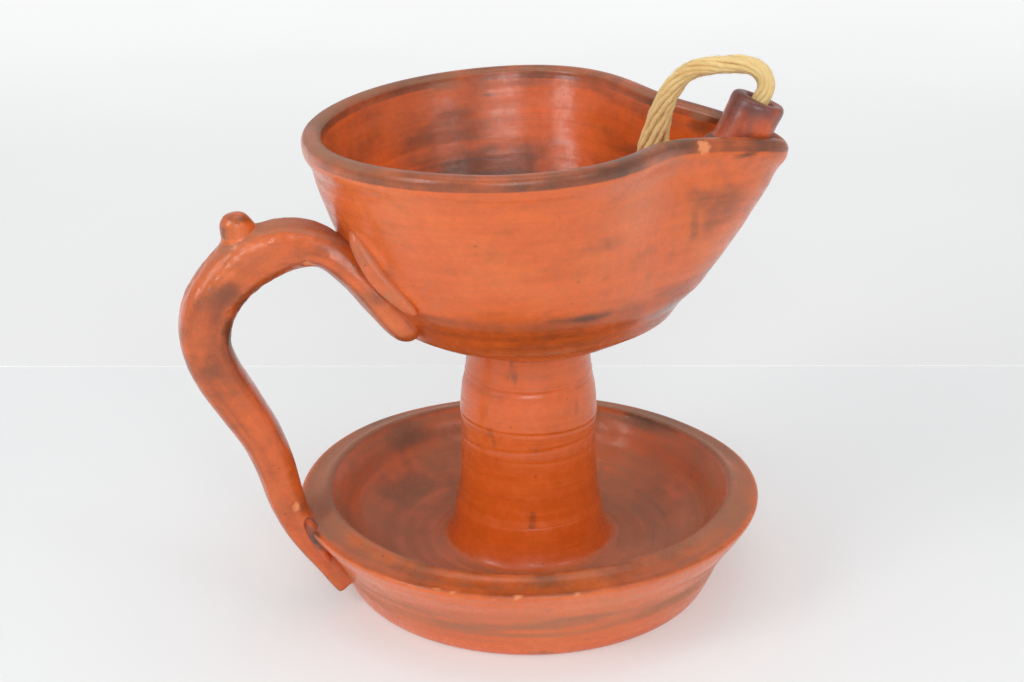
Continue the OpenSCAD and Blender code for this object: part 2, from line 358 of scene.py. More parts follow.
class Hank:
    """A soft hank of cotton strands with a slow twist, and loose fibres standing off it.

    splay gives how far the strands spread, 0 to 1, at each fraction of the route."""

    def __init__(self, route, splay, seed):
        self.line = even(smooth(route, 12), ROPE_GAP)
        self.side, self.up = carried_frames(self.line)
        self.run = np.arange(len(self.line)) * ROPE_GAP
        self.open_up = splay(self.run / self.run[-1])
        self.seed = seed
        self.rng = np.random.RandomState(seed)
        self.points, self.faces, self.strand = [], [], []
        self.count = 0

    def add(self, rings, values):
        rows, sides = rings.shape[:2]
        self.points.append(rings.reshape(-1, 3))
        self.faces += tube_faces(rows, sides, self.count)
        self.strand.append(values.reshape(-1, 3))
        self.count += rows * sides

    def wander(self, length, lane, seed):
        """Noise that changes slowly along the rope; lane tells one strand's from another's."""
        rows = np.column_stack([self.run / length, np.full(len(self.run), lane), self.run * 0])
        return fractal(rows, 1, seed)

    def add_strand(self, number, lay_r, start):
        slow = self.wander(15, number * 7.1, self.seed + number)
        loose = self.wander(9, number * 3.3, self.seed + 40)
        turn = np.radians(start + 360 * self.run / LAY_PITCH + 34 * slow)
        reach = lay_r * (1 + 0.16 * loose)
        wide = (reach * (1 + 0.95 * self.open_up) * np.cos(turn))[:, None]
        flat = (reach * (1 - 0.3 * self.open_up) * np.sin(turn))[:, None]
        centre = self.line + self.side * wide + self.up * flat
        a = np.linspace(0, 2 * np.pi, STRAND_SIDES, endpoint=False)[None, :]
        run = self.run[:, None]
        twist = 2 * np.pi * run / PLY_PITCH + number
        lobes = np.cos(2 * (a - twist))
        fat = STRAND_R * (1 + 0.14 * loose[:, None]) * (1 + 0.06 * lobes)
        fuzz = self.rng.normal(size=(len(run), STRAND_SIDES)).clip(-1.5, 1.5)
        rings = rings_round(centre, fat + 0.035 * fuzz, a)
        out = unit(centre - self.line)
        facing = np.sum((rings - centre[:, None]) * out[:, None], -1) / STRAND_R
        self.add(rings, np.stack(np.broadcast_arrays(run + 37 * number, a - twist, facing), -1))

    def add_fibre(self):
        rng = self.rng
        i = rng.randint(FIBRE_MARGIN, len(self.line) - FIBRE_MARGIN)
        angle = rng.uniform(0, 2 * np.pi)
        out = self.side[i] * np.cos(angle) + self.up[i] * np.sin(angle)
        ahead = unit(self.line[i + 1] - self.line[i])
        size = rng.uniform(1.0, 3.2)
        lift = rng.uniform(0.15, 0.75)
        sweep = np.cross(ahead, out) * rng.uniform(-0.9, 0.9)
        root = self.line[i] + out * (2.4 + 0.5 * self.open_up[i])
        t = np.linspace(0, 1, FIBRE_RINGS)[:, None]
        hair = root + ahead * size * t + out * lift * np.sin(np.pi * t * 0.8) + sweep * t * t
        rings = rings_round(hair, FIBRE_R * (1 - 0.6 * t), np.array(FIBRE_CORNERS)[None, :])
        self.add(rings, np.ones(rings.shape) * (self.run[i], 0, 1))


def rope(name, route, splay, seed):
    hank = Hank(route, splay, seed)
    for layer, (many, lay_r) in enumerate(LAYERS):
        for k in range(many):
            hank.add_strand(10 * layer + k, lay_r, 360 * k / many + 20 * layer)
    for _ in range(int(len(hank.line) * FIBRES_PER_RING)):
        hank.add_fibre()
    mesh = new_mesh(name, np.concatenate(hank.points), hank.faces)
    add_layer(mesh, "strand", "FLOAT_VECTOR", "vector", np.concatenate(hank.strand))
    return new_object(name, mesh), hank.line


def free_splay(t):
    """The strands spread where the wick goes down into the bowl, and close up on its floor."""
    return bell(t, 0.5, 0.13)


def tail_splay(t):
    """The strands loosen a little towards the tail's bare end."""
    return 0.5 * bell(t, 0.9, 0.2)


wick, wick_line = rope("cotton_wick", WICK_ROUTE, free_splay, 3)
tail, tail_line = rope("cotton_wick_tail", TAIL_ROUTE, tail_splay, 11)


# -------------------- thrown pieces

def revolve(name, outline, sides, gap):
    """A thrown piece from an outline of radius and height rows."""
    line = profile(outline, gap)
    turn = np.arange(sides) * 360 / sides
    rings = place(line[:, 0][:, None], line[:, 1][:, None], turn[None, :])
    grain = rings.copy()
    grain[..., 2] = (np.arange(len(line)) * gap)[:, None]
    return Clay(name, rings, grain)


def throwing(piece, fine, broad, seed):
    """The ridges that fingers and a rib leave: long round the wheel, narrow across it."""
    g = piece.grain
    narrow = np.stack([g[..., 0] / 60, g[..., 1] / 60, g[..., 2] / 1.7], -1)
    wide = np.stack([g[..., 0] / 110, g[..., 1] / 110, g[..., 2] / 6.5], -1)
    lump = fractal(piece.rings, 42, seed + 9, 2)
    return fine * perlin(narrow, seed) + broad * perlin(wide, seed + 5) + 0.35 * broad * lump


# -- drip dish

dish_low, dish_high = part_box("drip_dish")
DISH_R = (dish_high.x - dish_low.x) / 2 / MM
DISH_H = dish_high.z / MM
DISH_FOOT_R = 56.5
DISH_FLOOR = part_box("stem")[0].z / MM
DISH_RIM_W = 9.5
DISH_WELL_R = DISH_R - DISH_RIM_W


def dish_outline():
    """Under the foot, up the flaring wall, over the rim and down into the well."""
    r, h, well, floor = DISH_R, DISH_H, DISH_WELL_R, DISH_FLOOR
    under = h - 6
    return [
        (0.5, 0), (DISH_FOOT_R - 14, 0), (DISH_FOOT_R - 3, 0), (DISH_FOOT_R - 0.9, 0.5),
        (DISH_FOOT_R + 0.1, 1.8), (mix(DISH_FOOT_R, r, 0.15), under * 0.25),
        (mix(DISH_FOOT_R, r, 0.34), under * 0.5), (mix(DISH_FOOT_R, r, 0.6), under * 0.76),
        (r - 2.3, under - 1.2), (r - 0.9, under + 1.2), (r - 0.15, h - 3.6), (r, h - 2.8),
        (r - 0.35, h - 2.3), (r - 1.4, h - 2.05), (r - 3.6, h - 1.8), (r - 6, h - 1.15),
        (well + 2, h - 0.25), (well + 0.8, h), (well, h - 0.4), (well - 1, h - 1.7),
        (well - 3.4, h - 5.4), (well - 6.6, floor + 8.6), (well - 11.5, floor + 4.6),
        (well - 18, floor + 1.9), (well - 25, floor + 0.6), (30, floor + 0.2), (0.5, floor)]


def drip_dish():
    piece = revolve("dish", dish_outline(), sides=420, gap=0.55)
    thrown = piece.rings
    x, y, z = (thrown[..., k] for k in range(3))
    turn = np.arctan2(y, x)
    up = ease(z / DISH_H)
    # The rim is a little out of round, and dips and rises as a hand-thrown one does
    out = unit(thrown * (1, 1, 0))
    oval = 0.4 * np.cos(2 * turn - 1) + 0.25 * np.cos(3 * turn + 0.3)
    piece.rings = thrown + out * (oval * up)[..., None]
    dip = 0.3 * np.cos(2 * turn + 0.7) + 0.2 * np.cos(5 * turn) - 0.4 * y / DISH_R
    piece.rings[..., 2] += up * dip
    piece.push(throwing(piece, 0.07, 0.26, 21) * ease(z / 2.0))
    piece.rings[..., 2] = np.maximum(piece.rings[..., 2], 0)
    mark_dish(piece, thrown)
    return piece


def mark_dish(piece, rings):
    """Grey dust on the rim and in brushed bands on the wall, soft soot and oil in the well."""
    y, z = rings[..., 1], rings[..., 2]
    reach = np.hypot(rings[..., 0], y)
    top = ease((z - (DISH_H - 3.2)) / 0.8)
    on_rim = ease((reach - (DISH_WELL_R - 0.6)) / 1.2) * top
    near = 0.3 + 0.7 * ease((y + 60) / 34)
    edge = ease((DISH_R - 0.4 - reach) / 1.3)
    rim_dust = on_rim * edge * near * (0.95 + 0.7 * fractal(rings, 22, 31))
    outside = (reach > DISH_FOOT_R - 2) * (z < DISH_H - 3.4)
    band = bell(z, 13, 6.5) * (0.6 + 0.8 * fractal(piece.grain * (0.14, 0.14, 1), 4, 33))
    inside = ease((DISH_WELL_R + 0.2 - reach) / 1.5) * (z > DISH_FLOOR - 1)
    well_dust = inside * (0.68 + 0.5 * fractal(rings, 26, 38))
    piece.marks[..., DUST_AND_SHEEN] = np.maximum(np.maximum(rim_dust, outside * band), well_dust)
    streaks = 0.08 * fractal(piece.grain * (0.6, 0.6, 1), 9, 37)
    cloud = 0.3 + 0.9 * fractal(rings, 34, 36, 2) + streaks
    rubbed = on_rim * (0.22 + 0.3 * ease((-y - 25) / 30)) * (0.9 + 0.6 * fractal(rings, 16, 39))
    crest = bell(reach, DISH_WELL_R + 0.4, 1.3) * top
    on_edge = np.maximum(rubbed, 0.6 * crest)
    piece.marks[..., SMOKE_AND_SHADE] = np.maximum(inside * np.clip(cloud, 0, 1) * 0.46, on_edge)


# -- stem

STEM_LOW, STEM_HIGH = (p.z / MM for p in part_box("stem"))
STEM_FOOT_R = 22
STEM_NECK_R = 19
# Grooves left by a fingertip: height, depth, width, and how much each runs up round the stem
GROOVES = [
    (66.4, 0.34, 0.5, 0.5), (52.8, 0.26, 0.45, -0.8), (47.8, 0.1, 0.5, 1.1),
    (44.4, 0.12, 0.5, -0.4), (57.5, 0.05, 0.5, 0.3), (38.2, 0.04, 0.6, 0.2)]


def stem_outline():
    foot, neck = STEM_FOOT_R, STEM_NECK_R
    return [
        (6, STEM_LOW - 1), (foot + 0.6, STEM_LOW - 0.6), (foot + 0.4, 16), (foot, 24),
        (foot - 0.9, 33), (foot - 1.3, 42), (foot - 1.3, 50), (foot - 1.3, 57), (foot - 1.8, 62),
        (foot - 2.6, 66), (neck - 0.1, 69.5), (neck - 0.2, 73), (neck + 0.2, 76.5),
        (neck + 1, STEM_HIGH + 0.6), (8, STEM_HIGH + 0.8)]


def stem():
    piece = revolve("stem_column", stem_outline(), sides=260, gap=0.4)
    x, y, z = (piece.rings[..., k] for k in range(3))
    turn = np.arctan2(y, x)
    cut = np.zeros_like(z)
    for k, (at, depth, width, rise) in enumerate(GROOVES):
        level = at + rise * np.sin(turn + 0.8 * k)
        fade = 0.75 + 0.8 * fractal(piece.rings * (1, 1, 0), 26, 60 + k, 2)
        cut += depth * np.clip(fade, 0.05, 1.2) * bell(z, level, width)
        cut -= 0.35 * depth * bell(z, level + 1.9 * width, 1.2 * width)
    # A dent left by a thumb under the bowl
    cut += 0.7 * bell(z, 71, 3) * bell(turn, 3.05, 0.5)
    side_wall = ease((z - STEM_LOW) / 2) * ease((STEM_HIGH - z) / 2)
    piece.push((throwing(piece, 0.05, 0.2, 41) - cut) * side_wall)
    piece.marks[..., DUST_AND_SHEEN] = 0.26 * ease(fractal(piece.rings, 16, 66) * 2) * ease((z - 50) / 8)
    runs = fractal(piece.rings * (1, 1, 0.22), 5, 68)
    # Painted shade: the stem's top is darker just under the overhanging bowl
    painted_shade_under_bowl = ease((STEM_HIGH + 1 - z) / 4 * (z > 76))
    piece.marks[..., SMOKE_AND_SHADE] = 0.5 * ease((runs - 0.28) / 0.35) + 0.3 * painted_shade_under_bowl
    piece.marks[..., SLIP_AND_SHADE] = 0.25 + 0.75 * ease((56 - z) / 16)
    return piece


def stem_foot_coil():
    foot, floor = STEM_FOOT_R, DISH_FLOOR
    piece = revolve("stem_foot_fillet", [
        (foot - 3, floor - 1.5), (foot + 4, floor - 1.6), (foot + 6.8, floor - 1),
        (foot + 6.8, floor - 0.2), (foot + 5.2, floor + 0.4), (foot + 3.6, floor + 1.5),
        (foot + 2.4, floor + 3.4), (foot + 1.4, floor + 6), (foot + 0.7, floor + 9.5),
        (foot + 0.2, floor + 13), (foot - 1, floor + 14.5), (foot - 3, floor + 14)],
        sides=240, gap=0.4)
    piece.push(throwing(piece, 0.05, 0.2, 51) * ease((piece.rings[..., 2] - floor) / 1.5))
    reach = np.hypot(piece.rings[..., 0], piece.rings[..., 1])
    skirt = ease((reach - foot - 2) / 3)
    piece.marks[..., SLIP_AND_SHADE] = 1 - skirt
    piece.marks[..., DUST_AND_SHEEN] = 0.62 * skirt
    return piece


# -- bowl: the CAD bowl's wall, a little less flared at the near and far sides

bowl_low, bowl_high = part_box("bowl")
BOWL_BACK = -bowl_low.x / MM
BOWL_SIDE = (bowl_high.y - bowl_low.y) / 2 / MM + 0.3
BOWL_FRONT = 68.5
SEAT_Z = bowl_low.z / MM
WALL_Z = SEAT_Z + 2.5
FLOOR_Z = SEAT_Z + 10
RIM_RISE = 61.5
BASE_R = 31.5
# How far the sides are pinched in, how far the lip is drawn out, the wall and the rim's roundness
PINCH = 17.5
LIP_REACH = 9
WALL = 5.5
RIM_ROUND = 2.2
# Columns on each side of the lip, and rows of each stretch of the skin
BOWL_COLUMNS = 250
OUTSIDE_ROWS = 120
RIM_ROWS = 18
INSIDE_ROWS = 105
FLOOR_ROWS = 40


def oval_reach(turn):
    along = np.where(np.abs(turn) < 90, BOWL_FRONT, BOWL_BACK)
    a = np.radians(turn)
    return 1 / np.sqrt((np.cos(a) / along) ** 2 + (np.sin(a) / BOWL_SIDE) ** 2)


def pinch_at(turn):
    a = np.abs(turn)
    return PINCH * bell(a, 36, np.where(a > 36, 34, 26))


def beak_at(turn, t):
    spread = mix(26, 7, t * t)
    rise = ease((t - 0.1) / 0.7) * mix(0.72, 1, ease((t - 0.6) / 0.4))
    return LIP_REACH * rise * np.exp(1 - np.sqrt(1 + (turn / spread) ** 2))


def wall_reach(turn, t):
    a = np.abs(turn)
    bulge = 0.42 + 0.16 * bell(a, 45, 40) + 0.12 * bell(a, 90, 35) + 0.055 * ease((a - 100) / 40)
    return (BASE_R + (oval_reach(turn) - BASE_R) * t ** bulge
            + beak_at(turn, t) - pinch_at(turn) * ease((t - 0.05) / 0.95))


def rim_z(turn):
    a = np.abs(turn)
    return WALL_Z + RIM_RISE - 4.2 * ease((a - 60) / 120) - 9 * np.exp(-a / 20)


def outer_point(turn, t):
    return place(wall_reach(turn, t), mix(WALL_Z, rim_z(turn), t), turn)


def inner_point(turn, t):
    step = 0.6
    d = (outer_point(turn + step, t) - outer_point(turn - step, t)) * (1, 1, 0)
    ahead = unit(d)
    inward = np.stack([-ahead[..., 1], ahead[..., 0], ahead[..., 2] * 0], -1)
    thick = WALL + 4.5 * (1 - t) ** 2
    return outer_point(turn, t) + inward * np.broadcast_to(thick, d.shape[:-1])[..., None]


def bowl_parts(turns):
    """The skin's stretches in order: foot, outside, rim, inside and floor."""
    under = profile([(4, SEAT_Z), (14, SEAT_Z), (23, SEAT_Z + 0.1), (27.5, SEAT_Z + 0.4),
                     (30.2, SEAT_Z + 1.1), (BASE_R - 0.25, WALL_Z - 0.4)], 1.0)
    foot = np.stack([place(r, z, turns[0]) for r, z in under])
    outside = outer_point(turns, (np.linspace(0, 1, OUTSIDE_ROWS) ** 1.2)[:, None])
    q = np.radians(np.linspace(0, 180, RIM_ROWS)[1:-1])[:, None]
    across = (1 - np.cos(q)) / 2
    rim = mix(outer_point(turns, 1.0), inner_point(turns, 1.0), across[..., None])
    rim[..., 2] += RIM_ROUND * np.sin(q) ** 0.75
    inside = inner_point(turns, np.linspace(1, 0.13, INSIDE_ROWS)[:, None])
    shrink = np.linspace(1, 0.04, FLOOR_ROWS)[1:, None, None]
    floor = inside[-1][None] * shrink
    settle = ease((1 - shrink[..., 0]) / 0.3)
    floor[..., 2] = mix(inside[-1][:, 2], FLOOR_Z - 0.8, settle)
    return foot, outside, rim, inside, floor


def bowl():
    i = np.arange(-BOWL_COLUMNS, BOWL_COLUMNS)
    turns = (np.sign(i) * 180 * (np.abs(i) / BOWL_COLUMNS) ** 1.25)[None, :]
    parts = bowl_parts(turns)
    rings = np.concatenate(parts)
    steps = np.linalg.norm(np.diff(rings, axis=0), axis=2).mean(1)
    grain = rings.copy()
    grain[..., 2] = np.concatenate([[0], np.cumsum(steps)])[:, None]
    piece = Clay("oil_bowl", rings, grain)
    z = rings[..., 2]
    turn = np.broadcast_to(turns, z.shape)
    rim_at = rim_z(turn)
    row = np.arange(len(rings))[:, None] + 0 * turn
    out_from, rim_from, in_from = np.cumsum([len(part) for part in parts[:3]])
    is_out = (row >= out_from) & (row < rim_from)
    is_rim = (row >= rim_from - 3) & (row < in_from + 3)
    is_in = row >= in_from
    # A roll under the rim, the turned foot ring, and the slow dents of the hands
    roll = 0.7 * bell(z, rim_at - 2.6, 2.2) - 0.25 * bell(z, rim_at - 7.5, 2.6)
    ring = 0.55 * bell(z, 86.6, 1.3) - 0.5 * bell(z, 91.5, 2.8) + 0.25 * bell(z, 96.5, 2)
    dents = 0.45 * fractal(rings, 55, 71, 2)
    thrown = throwing(piece, 0.035, 0.16, 77) * np.where(is_rim, 0.4, 1.0)
    piece.push(thrown + dents * ease((z - 84) / 20) + (roll + ring) * is_out)
    # The rim's top is worn, with dust on it, most at the back, where it is partly a painted highlight;
    # the upper wall has a faint pale sheen in the dust channel that is a painted reflection
    back = 0.14 + 0.86 * ease((np.abs(turn) - 95) / 60)
    inner_edge = bell(row, in_from - 3, 3.5)
    worn = is_rim * (0.8 + 0.7 * fractal(rings, 18, 83)) * ease((z - rim_at - 0.4) / 0.9)
    painted_reflection_haze = 0.14 * ease(fractal(rings, 30, 85, 2) * 1.6 + 0.2) * is_out * (z > 100)
    piece.marks[..., DUST_AND_SHEEN] = np.maximum(worn * np.maximum(back, 0.8 * inner_edge), painted_reflection_haze)
    # The wall is brushed, and darker and more saturated low down, a painted shade for the dish's dark
    # reflection; the rim is smoked
    brushed = ease(fractal(piece.grain * (0.3, 0.3, 1), 11, 87) * 1.7 - 0.1)
    low = is_out * (1 - ease((z - 99.5 - 2 * np.sin(np.radians(turn + 40))) / 5))
    shade = 0.26 * brushed + 0.42 * low + 0.4 * is_in * (0.8 + fractal(rings, 40, 89, 2))
    smoked = 0.76 * (0.8 + 0.5 * fractal(rings, 16, 90))
    piece.marks[..., SMOKE_AND_SHADE] = np.where(is_rim, smoked, shade)
    piece.marks[..., SLIP_AND_SHADE] = np.where(is_out, low, 0.75 * is_in)
    return piece


# -------------------- pulled and modelled pieces

# The handle's direction, and its rows of radius, height, turn from there, and half sizes
HANDLE_TURN = 198
HANDLE_ROWS = [
    (45.1, 89.3, 28, 2.6, 3.4), (48, 93, 24.5, 3.8, 4.8), (51.3, 98.6, 19.5, 4.2, 6),
    (56, 106.4, 13.5, 4.6, 6.8), (62.3, 113.4, 7.5, 5.4, 7.4), (69.5, 114.3, 2, 6.7, 7.5),
    (78.5, 111.8, 0, 7.6, 7.5), (87.5, 106, 0, 7.7, 7.5), (94, 97.5, 0, 7.6, 7.5),
    (96, 87, 0, 7.2, 7.5), (93, 77, 0, 7, 7.5), (87.3, 66.5, 0, 6.7, 7.5), (82, 56, 0, 6.3, 7.4),
    (78.3, 45, 0, 6, 7.3), (76, 35.5, 0, 5.6, 7.2), (72.8, 26.5, 0, 4.8, 7),
    (67, 16.5, 1, 4.2, 6.8), (62.4, 9, 2, 3.6, 6.5), (61, 7, 2, 3.4, 6.5)]


def strip(name, rows, sides, gap, square=None):
    """A strip of clay laid along rows of radius, height, turn, half thickness and half width.

    The turns count from the handle's direction. square is a function of the fraction along the
    strip: 0 leaves it oval, 1 makes it a flat strap."""
    fine = smooth(np.asarray(rows) + (0, 0, HANDLE_TURN, 0, 0), 14)
    centre = place(fine[:, 0], fine[:, 1], fine[:, 2])
    table = even(np.column_stack([centre, fine[:, 2:]]), gap)
    line, turn, thick, wide = table[:, :3], np.radians(table[:, 3]), table[:, 4], table[:, 5]
    ahead = unit(np.gradient(line, axis=0))
    side = np.stack([-np.sin(turn), np.cos(turn), 0 * turn], -1)
    side = unit(side - ahead * np.sum(side * ahead, -1, keepdims=True))
    up = np.cross(ahead, side)
    a = np.linspace(0, 2 * np.pi, sides, endpoint=False)[None, :]
    f = np.linspace(0, 1, len(line))[:, None]
    power = 1 - (0 if square is None else square(f)) * 0.62
    c = np.sign(np.cos(a)) * np.abs(np.cos(a)) ** power
    s = np.sign(np.sin(a)) * np.abs(np.sin(a)) ** power
    rings = (line[:, None] - up[:, None] * (thick[:, None] * c)[..., None]
             + side[:, None] * (wide[:, None] * s)[..., None])
    run = np.arange(len(line)) * gap
    grain = np.stack(np.broadcast_arrays(run[:, None] * 0.6, run[:, None] * 0.8, a * 7), -1)
    piece = Clay(name, rings, grain.copy())
    piece.fraction = f + 0 * a
    piece.angle = a + 0 * f
    return piece


def round_end(piece, rows, first=True):
    """Closes a strip's end in a dome, by drawing its last rings in."""
    n = len(piece.rings)
    picks = range(rows) if first else range(n - rows, n)
    for k in picks:
        depth = (k if first else n - 1 - k) / rows
        scale = math.sqrt(1 - (1 - depth) ** 2) if depth < 1 else 1
        middle = piece.rings[k].mean(0)
        piece.rings[k] = middle + (piece.rings[k] - middle) * max(scale, 0.05)


def handle():
    piece = strip("pulled_handle", HANDLE_ROWS, sides=112, gap=0.55,
                  square=lambda f: 0.5 * ease(f / 0.2) + 0.3 * ease((f - 0.72) / 0.15))
    round_end(piece, 7)
    f, a = piece.fraction, piece.angle
    # Long shallow flutes from the pulling hand, lumps from the fingers, and fine wiped lines
    flutes = 0.2 * np.cos(2 * a + 0.6 + 2.5 * f) * ease((f - 0.15) / 0.1)
    lines = np.stack([piece.grain[..., 0] / 26, np.cos(a) * 2.6, np.sin(a) * 2.6], -1)
    lumps = 0.5 * fractal(piece.rings, 20, 91, 2) + 0.06 * perlin(lines * (1, 2, 2), 93)
    piece.push(flutes + lumps + 0.05 * fractal(piece.rings, 3, 94, 2))
    # The top of the handle is rough where the slip dragged
    drag = bell(f, 0.36, 0.14)
    piece.push(0.26 * drag * fractal(piece.rings, 2.2, 96))
    # Pale grey on upward-facing surfaces is a painted sheen, and darker downward-facing surfaces are
    # painted shade
    top = ease((piece.normals()[..., 2] - 0.55) / 0.3)
    painted_underside_shade = ease((-piece.normals()[..., 2] - 0.1) / 0.6)
    piece.marks[..., SMOKE_AND_SHADE] = 0.32 + 0.3 * ease(fractal(piece.rings, 15, 98) * 2.0) + 0.25 * painted_underside_shade
    piece.marks[..., DUST_AND_SHEEN] = np.maximum(0.2 * ease(fractal(piece.rings, 12, 99) * 2), 0.7 * top)
    return piece


def handle_root_lute():
    piece = strip("root_ridge", [
        (60.2, 121.5, 20, 0.6, 1), (59.8, 118.5, 21.5, 1.7, 1.9),
        (58.9, 114.8, 23.8, 2.4, 2.4), (57.2, 110, 26.6, 2.6, 2.6),
        (55.2, 105.8, 29.8, 2.2, 2.4), (53.5, 102.4, 33, 1.3, 1.9),
        (52.2, 100, 36, 0.5, 1)], sides=56, gap=0.4)
    round_end(piece, 6)
    round_end(piece, 6, first=False)
    piece.push(0.12 * fractal(piece.rings, 9, 101, 2))
    piece.marks[..., DUST_AND_SHEEN] = 0.45 + 0.4 * fractal(piece.rings, 8, 102)
    return piece


def handle_foot_lute():
    piece = strip("foot_slip", [
        (71, 28.6, 4, 1, 1.6), (70.7, 27.6, 7, 1.7, 2.6),
        (69.2, 23, 8, 1.6, 2.6), (66.2, 16, 8, 0.9, 1.6)],
        sides=48, gap=0.3)
    round_end(piece, 6)
    round_end(piece, 6, first=False)
    piece.push(0.22 * fractal(piece.rings, 2.4, 105))
    upper = ease((piece.rings[..., 2] - 19) / 6)
    piece.marks[..., SMOKE_AND_SHADE] = upper * (0.6 + 0.8 * fractal(piece.rings, 4, 107))
    return piece


# The knob's lean, where its foot is buried in the handle, and its length
KNOB_TILT = 9
KNOB_FOOT_Z = 108.3
KNOB_AT_R = 83.2
KNOB_TOP = 16


def lean(points, tilt, turn, at):
    """Tips points outwards by tilt, turns them round the stem, and moves them to a place."""
    m = Matrix.Rotation(math.radians(turn), 3, "Z") @ Matrix.Rotation(math.radians(tilt), 3, "Y")
    return points @ np.array(m).T + np.array(at)


def thumb_knob():
    piece = revolve("thumb_peg", [
        (0.4, 0), (3.4, 0.1), (5.4, 2.4), (5.0, 5.2), (4.55, 7.6), (4.45, 9.4), (4.6, 11), (4.45, 12.6),
        (3.85, 14.2), (2.8, 15.35), (1.5, KNOB_TOP - 0.15), (0.3, KNOB_TOP)], sides=84, gap=0.2)
    foot = place(KNOB_AT_R, KNOB_FOOT_Z, HANDLE_TURN)
    piece.rings = lean(piece.rings, KNOB_TILT, HANDLE_TURN, foot)
    piece.push(0.3 * fractal(piece.rings, 6, 111, 2))
    piece.marks[..., SMOKE_AND_SHADE] = 0.22 + 0.4 * ease(fractal(piece.rings, 7, 113) * 2)
    return piece


# The middle of the tube's mouth, and its lean, which is the wick's sliding direction
MOUTH = (66.2, 0, 149.4)
FEED_AXIS = frame["joints"][0]["axis"]
TUBE_LEAN = math.degrees(math.atan2(FEED_AXIS[0], FEED_AXIS[2]))
TUBE_R = 7.75
BORE_R = 4
TUBE_LEN = 26


def wick_tube():
    piece = revolve("spout_tube", [
        (BORE_R, -TUBE_LEN + 1), (BORE_R + 0.4, -TUBE_LEN), (TUBE_R - 0.5, -TUBE_LEN),
        (TUBE_R, -TUBE_LEN + 1), (TUBE_R + 0.05, -20), (TUBE_R, -12), (TUBE_R, -5), (TUBE_R, -1.9),
        (TUBE_R - 0.3, -0.8), (TUBE_R - 1.0, -0.15), (TUBE_R - 1.9, 0), (BORE_R + 0.7, -0.2),
        (BORE_R, -1.8), (BORE_R, -8), (BORE_R, -16), (BORE_R, -TUBE_LEN + 1)],
        sides=130, gap=0.3)
    rings = piece.rings
    flat = rings[..., 2]
    turn = np.arctan2(rings[..., 1], rings[..., 0])
    outside = ease((np.hypot(rings[..., 0], rings[..., 1]) - BORE_R - 1) / 2)
    # Rolled by hand: a little flat on two sides, with a mouth that isn't quite level
    uneven = 0.2 * np.cos(2 * turn + 0.5) + 0.3 * fractal(rings, 10, 121, 2)
    piece.rings[..., 2] += outside * 0.4 * np.cos(turn) * ease((flat + 8) / 8)
    piece.push(outside * uneven)
    piece.marks[..., SMOKE_AND_SHADE] = 0.62 + 0.25 * bell(flat, -1, 2.5) + 0.4 * fractal(rings, 9, 125)
    piece.grain = rings[..., [2, 2, 0]] * (0.5, 0.5, 1)
    piece.rings = lean(piece.rings, TUBE_LEAN, 0, MOUTH)
    return piece


def tube_seat_coil():
    piece = revolve("spout_bed", [
        (TUBE_R - 1.8, -18), (TUBE_R - 1, -20.8), (TUBE_R + 0.6, -20), (TUBE_R + 1.8, -18.6),
        (TUBE_R + 2, -17.4), (TUBE_R + 1.5, -16), (TUBE_R + 0.5, -14.9), (TUBE_R - 1, -14.4),
        (TUBE_R - 1.8, -17.5)], sides=130, gap=0.3)
    piece.push(0.3 * fractal(piece.rings, 5, 131))
    piece.rings = lean(piece.rings, TUBE_LEAN, 0, MOUTH)
    piece.grain = piece.rings.copy()
    piece.marks[..., SMOKE_AND_SHADE] = 0.6 + 0.5 * fractal(piece.rings, 5, 133)
    return piece


# -------------------- materials

def rgb(r, g, b):
    """A colour as seen on a screen, 0 to 255, as the linear values that the shader wants."""
    return tuple((c / 12.92 if c <= 0.04045 else ((c + 0.055) / 1.055) ** 2.4)
                 for c in (r / 255, g / 255, b / 255)) + (1.0,)


class Nodes:
    """Short names for building a material's node tree."""

    def __init__(self, name):
        self.material = bpy.data.materials.new(name)
        self.material.use_nodes = True
        self.tree = self.material.node_tree
        self.shader = self.tree.nodes["Principled BSDF"]

    def add(self, kind, **inputs):
        node = self.tree.nodes.new("ShaderNode" + kind)
        self.fill(node, **inputs)
        return node

    def fill(self, node, **inputs):
        for key, value in inputs.items():
            self.put(node.inputs[key.replace("_", " ")], value)

    def put(self, socket, value):
        if isinstance(value, bpy.types.NodeSocket):
            self.tree.links.new(value, socket)
        else:
            socket.default_value = value

    def math(self, operation, a, b=0.0, clamp=False):
        node = self.tree.nodes.new("ShaderNodeMath")
        node.operation = operation
        node.use_clamp = clamp
        self.put(node.inputs[0], a)
        self.put(node.inputs[1], b)
        return node.outputs[0]

    def scale(self, vector, by):
        node = self.tree.nodes.new("ShaderNodeVectorMath")
        node.operation = "MULTIPLY"
        self.put(node.inputs[0], vector)
        node.inputs[1].default_value = by
        return node.outputs[0]

    def noise(self, vector, size, detail=3.0, rough=0.55):
        node = self.add("TexNoise", Vector=vector, Scale=size, Detail=detail, Roughness=rough)
        return node.outputs["Fac"]

    def span(self, value, low, high, to_low=0.0, to_high=1.0):
        node = self.tree.nodes.new("ShaderNodeMapRange")
        node.interpolation_type = "SMOOTHSTEP"
        for k, v in enumerate((value, low, high, to_low, to_high)):
            self.put(node.inputs[k], v)
        return node.outputs[0]

    def blend(self, a, b, factor, kind="MIX"):
        node = self.tree.nodes.new("ShaderNodeMix")
        node.data_type = "RGBA"
        node.blend_type = kind
        self.put(node.inputs[0], factor)
        self.put(node.inputs[6], a)
        self.put(node.inputs[7], b)
        return node.outputs[2]

    def attribute(self, name):
        node = self.tree.nodes.new("ShaderNodeAttribute")
        node.attribute_name = name
        return node


BLOTCH = rgb(160, 78, 30)
FRESH_SLIP_AND_SHADE = rgb(216, 90, 12)
GREY_DUST_AND_SHEEN = rgb(158, 110, 84)
DARK_FLECK = rgb(96, 52, 32)
BARE_CLAY = rgb(230, 142, 94)


